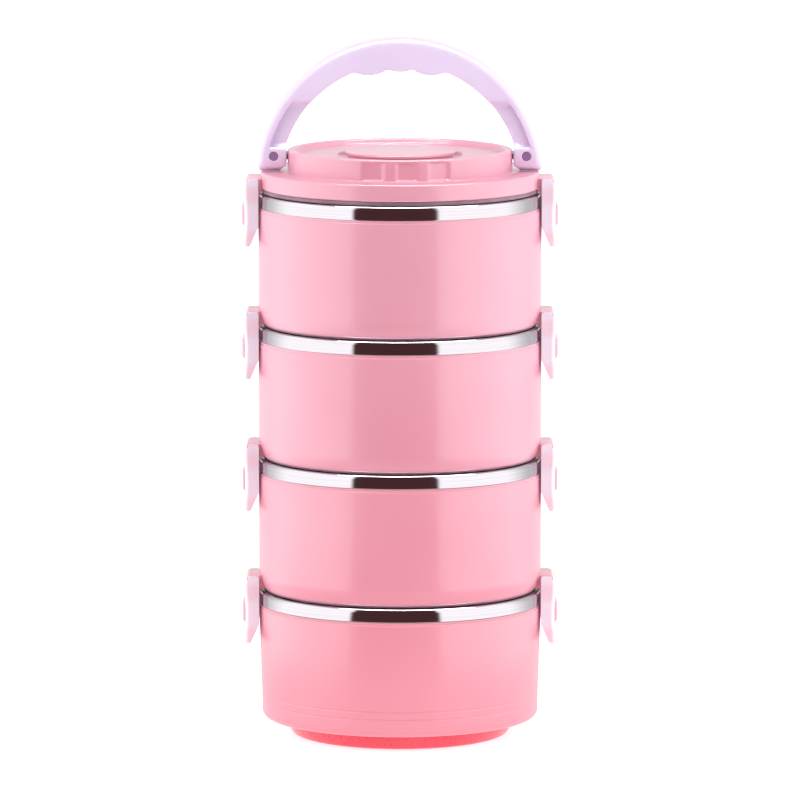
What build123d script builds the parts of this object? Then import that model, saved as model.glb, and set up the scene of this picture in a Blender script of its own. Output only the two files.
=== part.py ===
from build123d import *
import os
from math import asin, cos, radians, sin, sqrt

os.makedirs("parts", exist_ok=True)

# Tiffin carrier: four stacked tiers, a lid with a swinging handle, side latches.
# Millimetres, +Z up, origin at the bottom centre, the front faces -Y.

# Stack
body_radius = 65.0
tier_count = 4
tier_pitch = 61.2
first_rim = 67.5          # rim height of the bottom tier
shell_wall = 2.2
floor_thickness = 2.2
seam = 1.0                # slot between a rim and the shell that sits over it
running_gap = 0.3         # between pieces that move apart
fit_gap = 0.05            # between pieces that stay together
root_share = 0.75         # how much of the wall an ear or lug is rooted in
overcut = 1.0             # a cutting shape runs this far past the surface it cuts

# Steel bowls
steel = 0.8
band_height = 6.4         # the rim rolled down over the shell
bowl_inset = 6.5          # from the outside of the body to the inside of the bowl
bowl_corner = 8.0
bowl_air = 1.0            # under the bowl
rim_round = 0.5

# Shells
tuck_height = 8.0         # the lower edge draws in over this height
tuck_depth = 1.9
skirt_wall = 3.0          # locating skirt under each upper piece
skirt_drop = 3.0
skirt_gap = 0.6
draft = 1.6               # bottom tier only, on the radius
bottom_corner = 7.0
groove_heights = (16.2, 19.8)
groove_size = 0.4

# Base foot and its screws
foot_height = 8.0
foot_inset = 11.2         # from the body to the foot's upper edge
foot_flare = 2.6
foot_waist_height = 3.6
foot_toe = 4.2
foot_wall = 2.2
screw_count = 3
screw_circle = 38.0
screw_shank = 1.5
screw_head = 2.8
screw_head_height = 1.8
screw_boss = 5.0
screw_bite = 3.0          # length of a screw inside the shell
screw_cover = 0.6         # plastic over the end of a screw
screw_sink = 0.4          # the heads sit this far inside the foot's face

# Seals
seal_width = 4.0
seal_groove = 1.2
seal_inset = 0.7          # from the skirt to the seal
lid_seal_inset = 0.4      # from the lid's wall to the seal's outer edge

# Lid
lid_inset = 1.0           # from the body to the lid's lower wall
lid_seam = 2.2
lid_step = 7.7            # height of the lower wall
ledge_width = 12.5
lid_rise = 9.8            # height of the upper wall
lid_edge = 1.8
dish_border = 3.5
dish_slope = 1.0
dish_depth = 2.3
dish_plate = 3.0
flute_count = 3
flute_pitch = 15.0
flute_radius = 9.0
flute_depth = 1.1
flute_shoulder = 1.8      # plain wall left above the flutes
well_radius = 28.6        # shallow ring round the vent cap for fingertips
well_under = 1.5          # the ring runs this far in under the cap's edge
well_depth = 1.2

# Vent cap
cap_radius = 25.5
cap_thickness = 1.5
cap_edge = 0.5
stem_radius = 12.0
stem_length = 6.5
stem_flange = 1.0
vent_seal_wall = 1.8
vent_seal_height = 3.0
vent_tube_wall = 2.0
vent_hole = 2.0

# Ears and latches, placed from the body's wall
ear_half_width = 11.5
ear_top = 7.2             # above the rim below it
ear_half_height = 3.0
ear_past_pin = 3.5        # from a pin's axis to the end of its ear
ear_nose = 1.2
hinge_offset = 2.9        # from the wall out to the hinge pins
pin_radius = 1.2
pin_gap = 0.06
pin_cover = 0.6           # plastic left outside the end of a pin
cheek_wall = 1.6
cheek_inset = 0.3         # the cheeks reach this far inside the wall's outermost line
latch_depth = 6.6         # from the wall out to the latch's face
latch_waist = 0.5
latch_height = 31.2
latch_chamfer = 9.0
tip_thickness = 3.0
tip_edge = 1.0            # chamfer on the outside of the finger tip
head_inner = 1.1          # corner radii of the latch's head
head_outer = 2.0
web_offset = 4.2          # from the wall out to the web's inside
web_drop = 1.4            # from the rim down to the top of the web
lug_offset = 0.9
lug_height = 2.8
lug_half_width = 7.0
hook_drop = 0.6           # from the lug's underside down to the hook
hook_height = 2.4
pad_height = 9.8
pad_drop = 12.0           # from the latch's top down to the pad
pad_half_width = 8.5
pad_proud = 1.1
pad_seat = 0.9            # the pad's pocket in the latch's face
pad_edge = 0.5

# Handle, placed from the lid's upper wall and ledge
block_gap = 0.4
block_round = 6.6         # the end blocks are round underneath about the swing axis
block_clearance = 0.4     # over the ledge
block_rise = 5.0
arch_reach = 15.1         # from the lid's upper wall out to the arch
arch_thickness = 11.6
arch_drop = 5.2           # the arch's centre below the ledge
crown_width = 4.5
crown_half_depth = 7.0
crown_edge = 3.0
arm_half_depth = 4.0
grip_half_depth = 8.0
grip_lift = 23.0          # the proud grip starts this far above the swing axis
lobe_radius = 15.0
lobe_depth = 3.9
lobe_spacing = 14.4
lobe_edge = 2.0           # from the lobes' upper limit to the arch's outside
shaft_radius = 1.9
shaft_gap = 0.05
shaft_seat = 3.5          # length of a stub shaft inside the lid
shaft_backing = 1.5
shaft_reach = 9.6         # length of a stub shaft inside the end block
cross_pin_reach = 5.9     # from the block's inner face to the cross pin
cross_pin_radius = 0.9
cross_head_radius = 2.1
cross_head_depth = 1.4
cross_head_sink = 0.4

sides = (("left", -1), ("right", 1))
levels = range(1, tier_count + 1)


def rim_height(level):
    return first_rim + (level - 1) * tier_pitch


# Worked out from the values above
top_rim = rim_height(tier_count)
band_inner = body_radius - steel
neck_radius = band_inner - fit_gap
bowl_radius = body_radius - bowl_inset
skirt_outer = bowl_radius - skirt_gap
skirt_inner = skirt_outer - skirt_wall
seal_inner = skirt_outer + seal_inset
seal_outer = seal_inner + seal_width
foot_top_radius = body_radius - foot_inset
foot_waist_radius = foot_top_radius - foot_flare
foot_toe_radius = foot_waist_radius - foot_toe
lid_radius = body_radius - lid_inset
lid_base = top_rim + lid_seam
lid_ledge = lid_base + lid_step
lid_top = lid_ledge + lid_rise
upper_radius = lid_radius - ledge_width
dish_radius = upper_radius - dish_border
dish_floor = lid_top - dish_depth
dish_underside = dish_floor - dish_plate
liner_top = lid_base + floor_thickness
cap_underside = dish_floor + running_gap
stem_end = cap_underside - stem_length
tube_inner = stem_radius + vent_seal_wall + running_gap
cheek_start = ear_half_width + running_gap
cheek_end = cheek_start + cheek_wall
cheek_inner = body_radius - cheek_inset
pin_half = cheek_end - pin_cover
hinge_reach = body_radius + hinge_offset
hinge_lift = ear_top - ear_half_height
ear_reach = hinge_reach + ear_past_pin
latch_face = body_radius + latch_depth
web_inner = body_radius + web_offset
lug_reach = body_radius + lug_offset
pad_floor = latch_face - pad_seat
pad_face = latch_face + pad_proud
swing_height = lid_ledge + block_round + block_clearance
block_inner = upper_radius + block_gap
arch_radius = upper_radius + arch_reach
arch_inner = arch_radius - arch_thickness
arch_centre = lid_ledge - arch_drop
block_outer = sqrt(arch_radius ** 2 - (swing_height - arch_centre) ** 2)
shaft_start = upper_radius - shaft_seat
shaft_end = block_inner + shaft_reach
cross_pin_x = block_inner + cross_pin_reach
cross_pin_half = block_round - cross_head_sink


def save(block, name):
    block.part.label = name
    export_step(block.part, f"parts/{name}.step")


def bottom_wall_radius(height):
    """Outer radius of the bottom tier, which tapers slightly towards its foot."""
    step = first_rim - band_height
    return body_radius - draft * (step - height) / (step - foot_height)


def bottom_shell_section():
    """Half section of the bottom tier's shell: rounded foot, taper, neck for the band."""
    step = first_rim - band_height
    corner = foot_height + bottom_corner
    low = bottom_wall_radius(corner)
    flat = low - bottom_corner
    floor = foot_height + floor_thickness
    inner = body_radius - shell_wall
    with BuildSketch(Plane.XZ) as section:
        with BuildLine():
            Line((0, foot_height), (flat, foot_height))
            RadiusArc((flat, foot_height), (low, corner), -bottom_corner)
            Polyline((low, corner), (body_radius, step), (neck_radius, step),
                     (neck_radius, first_rim - steel), (inner, first_rim - steel), (inner, step),
                     (low - shell_wall, corner))
            RadiusArc((low - shell_wall, corner), (flat, floor), bottom_corner - shell_wall)
            Polyline((flat, floor), (0, floor), (0, foot_height))
        make_face()
    return section.sketch


def upper_shell_section(level):
    """Half section of an upper tier's shell: the lower edge tucks in over the seam."""
    rim = rim_height(level)
    step = rim - band_height
    base = rim_height(level - 1) + seam
    edge = body_radius - tuck_depth
    inner = body_radius - shell_wall
    floor = base + floor_thickness
    with BuildSketch(Plane.XZ) as section:
        with BuildLine():
            Line((0, base), (edge, base))
            TangentArc((body_radius, base + tuck_height), (edge, base), tangent=(0, -1))
            Polyline((body_radius, base + tuck_height), (body_radius, step), (neck_radius, step),
                     (neck_radius, rim - steel), (inner, rim - steel), (inner, floor + tuck_height),
                     (edge - shell_wall, floor), (0, floor), (0, base))
        make_face()
    return section.sketch


def ear_section(rim, root, side):
    """Side view of a hinge ear from its root inside the wall, with the pin's bore."""
    height = rim + hinge_lift
    with BuildSketch(Plane.XZ) as section:
        with Locations(((root + ear_reach) / 2 * side, height)):
            Rectangle(ear_reach - root, ear_half_height * 2)
        fillet(section.vertices().group_by(Axis.X)[-1 if side > 0 else 0], ear_nose)
        with Locations((hinge_reach * side, height)):
            Circle(pin_radius + fit_gap, mode=Mode.SUBTRACT)
    return section.sketch


def ring_sketch(height, outer, inner):
    with BuildSketch(Plane.XY.offset(height)) as ring:
        Circle(outer)
        Circle(inner, mode=Mode.SUBTRACT)
    return ring.sketch


def screw_circles(height, radius):
    with BuildSketch(Plane.XY.offset(height)) as circles:
        with PolarLocations(screw_circle, screw_count):
            Circle(radius)
    return circles.sketch


def outer_shell(level):
    rim = rim_height(level)
    with BuildPart() as shell:
        if level == 1:
            revolve(bottom_shell_section(), axis=Axis.Z)
            for height in groove_heights:
                with BuildSketch(Plane.XZ):
                    with Locations((bottom_wall_radius(height), height)):
                        Circle(groove_size)
                revolve(axis=Axis.Z, mode=Mode.SUBTRACT)
            extrude(screw_circles(foot_height, screw_boss), amount=screw_bite + screw_cover)
            extrude(screw_circles(foot_height, screw_shank + fit_gap), amount=screw_bite,
                    mode=Mode.SUBTRACT)
        else:
            lower = rim_height(level - 1)
            revolve(upper_shell_section(level), axis=Axis.Z)
            extrude(ring_sketch(lower - skirt_drop, skirt_outer, skirt_inner),
                    amount=skirt_drop + seam)
            extrude(ring_sketch(lower + seam, seal_outer, seal_inner), amount=seal_groove,
                    mode=Mode.SUBTRACT)
        # catch lugs just under the steel band
        root = body_radius - shell_wall * root_share
        for _, side in sides:
            with BuildSketch(Plane.XY.offset(rim - band_height - lug_height)):
                with Locations(((lug_reach + root) / 2 * side, 0)):
                    Rectangle(lug_reach - root, lug_half_width * 2)
            extrude(amount=lug_height)
    save(shell, f"outer_shell_{level}")
    return shell.part


def hinge_ear(level, name, side, wall):
    """Ear that stands on the wall over a rim; the latch's pin runs through it."""
    rim = rim_height(level)
    if level == tier_count:
        room, root = lid_radius - lid_seal_inset + fit_gap, lid_radius - shell_wall * root_share
        room_height = lid_seam
    else:
        room, root = seal_outer, body_radius - tuck_depth - shell_wall / 2
        room_height = ear_top
    with BuildPart() as ear:
        extrude(ear_section(rim, root, side), amount=ear_half_width, both=True)
        add(wall, mode=Mode.SUBTRACT)
        # room for the seal behind the ear
        with BuildSketch(Plane.XY.offset(rim)):
            Circle(room)
        extrude(amount=room_height, mode=Mode.SUBTRACT)
    save(ear, f"hinge_ear_{level}_{name}")


def steel_bowl(level):
    rim = rim_height(level)
    if level == 1:
        floor = foot_height + screw_bite + screw_cover + bowl_air
    else:
        floor = rim_height(level - 1) + seam + floor_thickness + bowl_air
    outer = bowl_radius + steel
    flat = outer - bowl_corner
    with BuildPart() as bowl:
        with BuildSketch(Plane.XZ):
            with BuildLine():
                Line((0, floor), (flat, floor))
                RadiusArc((flat, floor), (outer, floor + bowl_corner), -bowl_corner)
                Polyline((outer, floor + bowl_corner), (outer, rim - steel), (band_inner, rim - steel),
                         (band_inner, rim - band_height), (body_radius, rim - band_height),
                         (body_radius, rim - rim_round))
                RadiusArc((body_radius, rim - rim_round), (body_radius - rim_round, rim), -rim_round)
                Polyline((body_radius - rim_round, rim), (bowl_radius, rim),
                         (bowl_radius, floor + bowl_corner))
                RadiusArc((bowl_radius, floor + bowl_corner), (flat, floor + steel),
                          bowl_corner - steel)
                Polyline((flat, floor + steel), (0, floor + steel), (0, floor))
            make_face()
        revolve(axis=Axis.Z)
    save(bowl, f"steel_bowl_{level}")


def seal_ring(level):
    base = rim_height(level - 1) + running_gap
    with BuildPart() as seal:
        extrude(ring_sketch(base, seal_outer, seal_inner), amount=seam + seal_groove - running_gap)
    save(seal, f"seal_ring_{level}")


def base_foot():
    with BuildPart() as foot:
        with BuildSketch(Plane.XZ):
            with BuildLine():
                Line((0, 0), (foot_toe_radius, 0))
                TangentArc((foot_toe_radius, 0), (foot_waist_radius, foot_waist_height),
                           tangent=(1, 0))
                Polyline((foot_waist_radius, foot_waist_height), (foot_top_radius, foot_height),
                         (foot_top_radius - foot_wall, foot_height),
                         (foot_waist_radius - foot_wall, foot_waist_height),
                         (foot_toe_radius - foot_wall, foot_wall), (0, foot_wall), (0, 0))
            make_face()
        revolve(axis=Axis.Z)
        extrude(screw_circles(foot_wall, screw_boss), amount=foot_height - foot_wall)
        extrude(screw_circles(0, screw_shank + fit_gap), amount=foot_height, mode=Mode.SUBTRACT)
        extrude(screw_circles(0, screw_head + fit_gap), amount=screw_sink + screw_head_height,
                mode=Mode.SUBTRACT)
    save(foot, "base_foot")


def foot_screw(number):
    turn = radians(360 / screw_count * number)
    place = (screw_circle * cos(turn), screw_circle * sin(turn))
    neck = screw_sink + screw_head_height
    with BuildPart() as screw:
        with BuildSketch(Plane.XY.offset(screw_sink)):
            with Locations(place):
                Circle(screw_head)
        extrude(amount=screw_head_height)
        with BuildSketch(Plane.XY.offset(neck)):
            with Locations(place):
                Circle(screw_shank)
        extrude(amount=foot_height + screw_bite - fit_gap - neck)
    save(screw, f"foot_screw_{number + 1}")


def lid_section():
    """Half section of the lid cover: lower wall, ledge, upper wall and dished top."""
    inner = lid_radius - shell_wall
    upper_inner = upper_radius - shell_wall
    with BuildSketch(Plane.XZ) as section:
        with BuildLine():
            Line((lid_radius, lid_base), (lid_radius, lid_ledge - lid_edge))
            RadiusArc((lid_radius, lid_ledge - lid_edge), (lid_radius - lid_edge, lid_ledge), -lid_edge)
            Polyline((lid_radius - lid_edge, lid_ledge), (upper_radius, lid_ledge),
                     (upper_radius, lid_top - lid_edge))
            RadiusArc((upper_radius, lid_top - lid_edge), (upper_radius - lid_edge, lid_top), -lid_edge)
            Polyline((upper_radius - lid_edge, lid_top), (dish_radius, lid_top),
                     (dish_radius - dish_slope, dish_floor), (0, dish_floor), (0, dish_underside),
                     (upper_inner, dish_underside), (upper_inner, lid_ledge - shell_wall),
                     (inner, lid_ledge - shell_wall), (inner, lid_base), (lid_radius, lid_base))
        make_face()
    return section.sketch


def lid_cover():
    with BuildPart() as cover:
        revolve(lid_section(), axis=Axis.Z)
        # vent tube between the dish and the liner
        with BuildSketch(Plane.XY.offset(liner_top)):
            Circle(tube_inner + vent_tube_wall)
        extrude(amount=dish_underside - liner_top)
        with BuildSketch(Plane.XY.offset(liner_top)):
            Circle(tube_inner)
        extrude(amount=dish_floor - liner_top, mode=Mode.SUBTRACT)
        # shallow flutes on the front of the upper wall
        flute_centre = upper_radius + flute_radius - flute_depth
        for number in range(flute_count):
            turn = (number - (flute_count - 1) / 2) * flute_pitch / upper_radius
            with BuildSketch(Plane.XY.offset(lid_ledge)):
                with Locations((flute_centre * sin(turn), -flute_centre * cos(turn))):
                    Circle(flute_radius)
            extrude(amount=lid_rise - flute_shoulder, mode=Mode.SUBTRACT)
        extrude(ring_sketch(dish_floor - well_depth, well_radius, cap_radius - well_under),
                amount=well_depth, mode=Mode.SUBTRACT)
        for _, side in sides:
            # backing under the stub shaft, then its blind bore
            backing_start = shaft_start - shell_wall
            with BuildSketch(Plane.XY.offset(dish_underside - shaft_backing)):
                with Locations(((backing_start + upper_radius - shell_wall / 2) / 2 * side, 0)):
                    Rectangle(upper_radius - shell_wall / 2 - backing_start, block_round * 2)
            extrude(amount=shaft_backing)
            with BuildSketch(Plane.YZ.offset((shaft_start - fit_gap) * side)):
                with Locations((0, swing_height)):
                    Circle(shaft_radius + shaft_gap)
            extrude(amount=(shaft_seat + overcut) * side, mode=Mode.SUBTRACT)
    save(cover, "lid_cover")
    return cover.part


def lid_liner():
    with BuildPart() as liner:
        extrude(ring_sketch(lid_base, lid_radius - shell_wall - fit_gap, vent_hole),
                amount=floor_thickness)
        extrude(ring_sketch(top_rim - skirt_drop, skirt_outer, skirt_inner),
                amount=skirt_drop + lid_seam)
    save(liner, "lid_liner")


def lid_seal():
    with BuildPart() as seal:
        extrude(ring_sketch(top_rim + running_gap, lid_radius - lid_seal_inset, seal_inner),
                amount=lid_seam - running_gap)
    save(seal, "lid_seal")


def vent_cap():
    with BuildPart() as cap:
        with BuildSketch(Plane.XY.offset(cap_underside)):
            Circle(cap_radius)
        extrude(amount=cap_thickness)
        fillet(cap.edges().group_by(Axis.Z)[-1], cap_edge)
        with BuildSketch(Plane.XY.offset(stem_end)):
            Circle(stem_radius)
        extrude(amount=stem_length)
        with BuildSketch(Plane.XY.offset(stem_end)):
            Circle(stem_radius + vent_seal_wall / 2)
        extrude(amount=stem_flange)
    save(cap, "vent_cap")


def vent_seal():
    with BuildPart() as seal:
        extrude(ring_sketch(stem_end + stem_flange, stem_radius + vent_seal_wall, stem_radius),
                amount=vent_seal_height)
    save(seal, "vent_seal")


def latch_outline(rim):
    """Side view of a right-hand latch: soft head, drawn-in waist, tapered finger tip."""
    top = rim + ear_top
    tip = top - latch_height
    with BuildSketch(Plane.XZ) as outline:
        with BuildLine():
            Line((cheek_inner, tip + latch_chamfer), (cheek_inner, top - head_inner))
            RadiusArc((cheek_inner, top - head_inner), (cheek_inner + head_inner, top), head_inner)
            Line((cheek_inner + head_inner, top), (latch_face - head_outer, top))
            RadiusArc((latch_face - head_outer, top), (latch_face, top - head_outer), head_outer)
            Spline((latch_face, top - head_outer), (latch_face - latch_waist, (top + tip) / 2),
                   (latch_face, tip + tip_edge), tangents=((0, -1), (0, -1)))
            Polyline((latch_face, tip + tip_edge), (latch_face - tip_edge, tip),
                     (latch_face - tip_thickness, tip), (cheek_inner, tip + latch_chamfer))
        make_face()
    return outline.sketch


def latch(level, name, side):
    rim = rim_height(level)
    top = rim + ear_top
    tip = top - latch_height
    hook_top = rim - band_height - lug_height - hook_drop
    hook_inner = lug_reach + running_gap
    with BuildPart() as clip:
        extrude(latch_outline(rim), amount=cheek_end, both=True)
        # space between the cheeks, closed on the outside by the web below the ear
        with BuildSketch(Plane.XZ):
            with BuildLine():
                Polyline((cheek_inner - overcut, tip - overcut), (web_inner, tip - overcut),
                         (web_inner, rim - web_drop), (latch_face + overcut, rim - web_drop),
                         (latch_face + overcut, top + overcut), (cheek_inner - overcut, top + overcut),
                         close=True)
            make_face()
        extrude(amount=cheek_start, both=True, mode=Mode.SUBTRACT)
        # hook inside the web, level with the catch lug of the tier below
        with BuildSketch(Plane.XY.offset(hook_top - hook_height)):
            with Locations(((hook_inner + web_inner + fit_gap) / 2, 0)):
                Rectangle(web_inner + fit_gap - hook_inner, lug_half_width * 2)
        extrude(amount=hook_height)
        with BuildSketch(Plane.XZ):
            with Locations((hinge_reach, rim + hinge_lift)):
                Circle(pin_radius + pin_gap)
        extrude(amount=pin_half, both=True, mode=Mode.SUBTRACT)
        with BuildSketch(Plane.XY.offset(top - pad_drop - pad_height)):
            with Locations(((pad_floor + pad_face) / 2, 0)):
                Rectangle(pad_face - pad_floor, pad_half_width * 2)
        extrude(amount=pad_height, mode=Mode.SUBTRACT)
        if side < 0:
            mirror(about=Plane.YZ, mode=Mode.REPLACE)
    save(clip, f"latch_{level}_{name}")


def latch_pin(level, name, side):
    with BuildPart() as pin:
        with BuildSketch(Plane.XZ):
            with Locations((hinge_reach * side, rim_height(level) + hinge_lift)):
                Circle(pin_radius)
        extrude(amount=pin_half - fit_gap, both=True)
    save(pin, f"latch_pin_{level}_{name}")


def latch_pad(level, name, side):
    top = rim_height(level) + ear_top - pad_drop
    with BuildPart() as pad:
        with BuildSketch(Plane.XY.offset(top - pad_height)):
            with Locations(((pad_floor + pad_face) / 2 * side, 0)):
                Rectangle(pad_face - pad_floor, pad_half_width * 2)
        extrude(amount=pad_height)
        fillet(pad.faces().sort_by(Axis.X)[-1 if side > 0 else 0].edges(), pad_edge)
    save(pad, f"latch_pad_{level}_{name}")


def arch_ring(half_depth, inner, edge):
    """Section through the arch at its top, round along its outer edges."""
    with BuildSketch(Plane.YZ) as section:
        with Locations((0, arch_centre + (arch_radius + inner) / 2)):
            Rectangle(half_depth * 2, arch_radius - inner)
        fillet(section.vertices().group_by(Axis.Y)[-1], edge)
    return section.sketch


def handle():
    swing_axis = Axis((0, 0, arch_centre), (0, 1, 0))
    with BuildPart() as bail:
        # proud grip over the top of the arch, with finger lobes underneath
        revolve(arch_ring(grip_half_depth, arch_inner, crown_edge), axis=swing_axis)
        split(bisect_by=Plane.XY.offset(swing_height + grip_lift), keep=Keep.TOP)
        lobe_reach = arch_inner - lobe_depth + lobe_radius
        with BuildSketch(Plane.XZ):
            for number in (-1, 0, 1):
                turn = number * asin(lobe_spacing / lobe_reach)
                with Locations((lobe_reach * sin(turn), arch_centre + lobe_reach * cos(turn))):
                    Circle(lobe_radius)
            with Locations((0, arch_centre)):
                Circle(arch_radius - lobe_edge, mode=Mode.INTERSECT)
        extrude(amount=grip_half_depth - lobe_edge, both=True)
        # arms: a deep crown outside and a thinner wall inside it
        revolve(arch_ring(crown_half_depth, arch_radius - crown_width, crown_edge), axis=swing_axis)
        with BuildSketch(Plane.YZ):
            with Locations((0, arch_centre + (arch_radius - crown_edge + arch_inner) / 2)):
                Rectangle(arm_half_depth * 2, arch_radius - crown_edge - arch_inner)
        revolve(axis=swing_axis)
        split(bisect_by=Plane.XY.offset(swing_height), keep=Keep.TOP)
        # end blocks, round underneath about the swing axis
        for _, side in sides:
            with BuildSketch(Plane.YZ.offset(block_inner * side)):
                with Locations((0, swing_height)):
                    Circle(block_round)
                with Locations((0, swing_height + block_rise / 2)):
                    Rectangle(block_round * 2, block_rise)
            extrude(amount=(block_outer - block_inner) * side)
            with BuildSketch(Plane.YZ.offset(block_inner * side)):
                with Locations((0, swing_height)):
                    Circle(shaft_radius + shaft_gap)
            extrude(amount=(shaft_reach + fit_gap) * side, mode=Mode.SUBTRACT)
            with BuildSketch(Plane.XZ):
                with Locations((cross_pin_x * side, swing_height)):
                    Circle(cross_pin_radius + fit_gap)
            extrude(amount=block_round, both=True, mode=Mode.SUBTRACT)
            for face in (-1, 1):
                with BuildSketch(Plane.XZ.offset(face * block_round)):
                    with Locations((cross_pin_x * side, swing_height)):
                        Circle(cross_head_radius + fit_gap)
                extrude(amount=-face * (cross_head_sink + cross_head_depth), mode=Mode.SUBTRACT)
    save(bail, "handle")


def pivot_shaft(name, side):
    with BuildPart() as shaft:
        with BuildSketch(Plane.YZ.offset(shaft_start * side)):
            with Locations((0, swing_height)):
                Circle(shaft_radius)
        extrude(amount=(shaft_end - shaft_start) * side)
        with BuildSketch(Plane.XZ):
            with Locations((cross_pin_x * side, swing_height)):
                Circle(cross_pin_radius + fit_gap)
        extrude(amount=shaft_radius * 2, both=True, mode=Mode.SUBTRACT)
    save(shaft, f"pivot_shaft_{name}")


def cross_pin(name, side):
    with BuildPart() as pin:
        with BuildSketch(Plane.XZ):
            with Locations((cross_pin_x * side, swing_height)):
                Circle(cross_pin_radius)
        extrude(amount=cross_pin_half, both=True)
        for face in (-1, 1):
            with BuildSketch(Plane.XZ.offset(face * cross_pin_half)):
                with Locations((cross_pin_x * side, swing_height)):
                    Circle(cross_head_radius)
            extrude(amount=-face * cross_head_depth)
    save(pin, f"cross_pin_{name}")


walls = [outer_shell(level) for level in levels] + [lid_cover()]
for level in levels:
    steel_bowl(level)
    if level > 1:
        seal_ring(level)
    for name, side in sides:
        hinge_ear(level, name, side, walls[level])
        latch(level, name, side)
        latch_pin(level, name, side)
        latch_pad(level, name, side)
base_foot()
for number in range(screw_count):
    foot_screw(number)
lid_liner()
lid_seal()
vent_cap()
vent_seal()
handle()
for name, side in sides:
    pivot_shaft(name, side)
    cross_pin(name, side)
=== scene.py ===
import bmesh
import bpy
import math
from contextlib import contextmanager
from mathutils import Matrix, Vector


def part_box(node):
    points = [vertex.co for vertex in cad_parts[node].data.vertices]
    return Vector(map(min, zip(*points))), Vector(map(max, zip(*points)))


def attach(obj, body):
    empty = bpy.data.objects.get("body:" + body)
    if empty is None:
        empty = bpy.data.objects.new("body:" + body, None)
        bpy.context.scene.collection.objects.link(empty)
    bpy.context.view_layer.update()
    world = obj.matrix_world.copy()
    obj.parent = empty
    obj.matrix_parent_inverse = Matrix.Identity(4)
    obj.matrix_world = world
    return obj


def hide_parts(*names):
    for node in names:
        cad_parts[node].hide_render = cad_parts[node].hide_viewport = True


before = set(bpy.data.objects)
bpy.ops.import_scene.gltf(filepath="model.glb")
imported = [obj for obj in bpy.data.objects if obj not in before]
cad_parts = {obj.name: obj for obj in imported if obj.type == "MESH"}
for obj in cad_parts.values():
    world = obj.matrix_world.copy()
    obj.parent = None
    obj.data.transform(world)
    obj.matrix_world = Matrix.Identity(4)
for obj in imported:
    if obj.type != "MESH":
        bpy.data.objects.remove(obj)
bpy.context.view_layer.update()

mm = 0.001
sides = (("left", -1), ("right", 1))
ownerOfLatch = {1: "tier_2", 2: "tier_3", 3: "tier_4", 4: "lid"}


def nodeBox(name):
    low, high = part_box(name)
    return [v / mm for v in low], [v / mm for v in high]


# heights and reaches of the frame, in millimetres
rimTops = {level: nodeBox(f"steel_bowl_{level}")[1][2] for level in (1, 2, 3, 4)}
bodyRadius = nodeBox("steel_bowl_2")[1][0]
ledgeBase = nodeBox("lid_seal")[1][2]
lidTop = nodeBox("lid_cover")[1][2]
footTop = nodeBox("base_foot")[1][2]
hingeX = (nodeBox("latch_pin_4_right")[0][0] + nodeBox("latch_pin_4_right")[1][0]) / 2
hingeLift = (nodeBox("latch_pin_4_right")[0][2] + nodeBox("latch_pin_4_right")[1][2]) / 2 - rimTops[4]
swingZ = (nodeBox("pivot_shaft_left")[0][2] + nodeBox("pivot_shaft_left")[1][2]) / 2
pinX = (nodeBox("cross_pin_right")[0][0] + nodeBox("cross_pin_right")[1][0]) / 2
archTop = nodeBox("handle")[1][2]
print("frame read, stack height", round(archTop, 1), "mm")


def meshPiece(name, verts, faces):
    mesh = bpy.data.meshes.new(name)
    mesh.from_pydata([(x * mm, y * mm, z * mm) for x, y, z in verts], [], faces)
    piece = bpy.data.objects.new(name, mesh)
    bpy.context.scene.collection.objects.link(piece)
    return piece


@contextmanager
def meshEdit(piece):
    bm = bmesh.new()
    bm.from_mesh(piece.data)
    yield bm
    bm.to_mesh(piece.data)
    bm.free()


def tidyMesh(piece, sharpAngle=38, merge=0.002):
    # weld, face outward, shade smooth and keep the real corners crisp
    with meshEdit(piece) as bm:
        bmesh.ops.remove_doubles(bm, verts=bm.verts, dist=merge * mm)
        bmesh.ops.dissolve_degenerate(bm, edges=bm.edges, dist=merge * mm)
        bmesh.ops.recalc_face_normals(bm, faces=bm.faces)
        for face in bm.faces:
            face.smooth = True
        for edge in bm.edges:
            if len(edge.link_faces) == 2:
                edge.smooth = edge.calc_face_angle(0) < math.radians(sharpAngle)
    return piece


def movePiece(piece, place):
    # place gives each point's new spot, both in millimetres
    for v in piece.data.vertices:
        v.co = Vector(place(*(v.co / mm))) * mm
    return piece


def dropPiece(piece):
    mesh = piece.data
    bpy.data.objects.remove(piece)
    bpy.data.meshes.remove(mesh)


def fitPiece(piece, body, nodes, material):
    piece.data.materials.clear()
    piece.data.materials.append(material)
    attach(piece, body)
    if nodes:
        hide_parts(*nodes)
    return piece


def join(name, parts):
    bm = bmesh.new()
    for part in parts:
        bm.from_mesh(part.data)
        dropPiece(part)
    mesh = bpy.data.meshes.new(name)
    bm.to_mesh(mesh)
    bm.free()
    piece = bpy.data.objects.new(name, mesh)
    bpy.context.scene.collection.objects.link(piece)
    return piece


def bakeModifiers(piece):
    # turns the modifiers into plain mesh
    graph = bpy.context.evaluated_depsgraph_get()
    mesh = bpy.data.meshes.new_from_object(piece.evaluated_get(graph))
    piece.modifiers.clear()
    piece.data = mesh
    return piece


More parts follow.
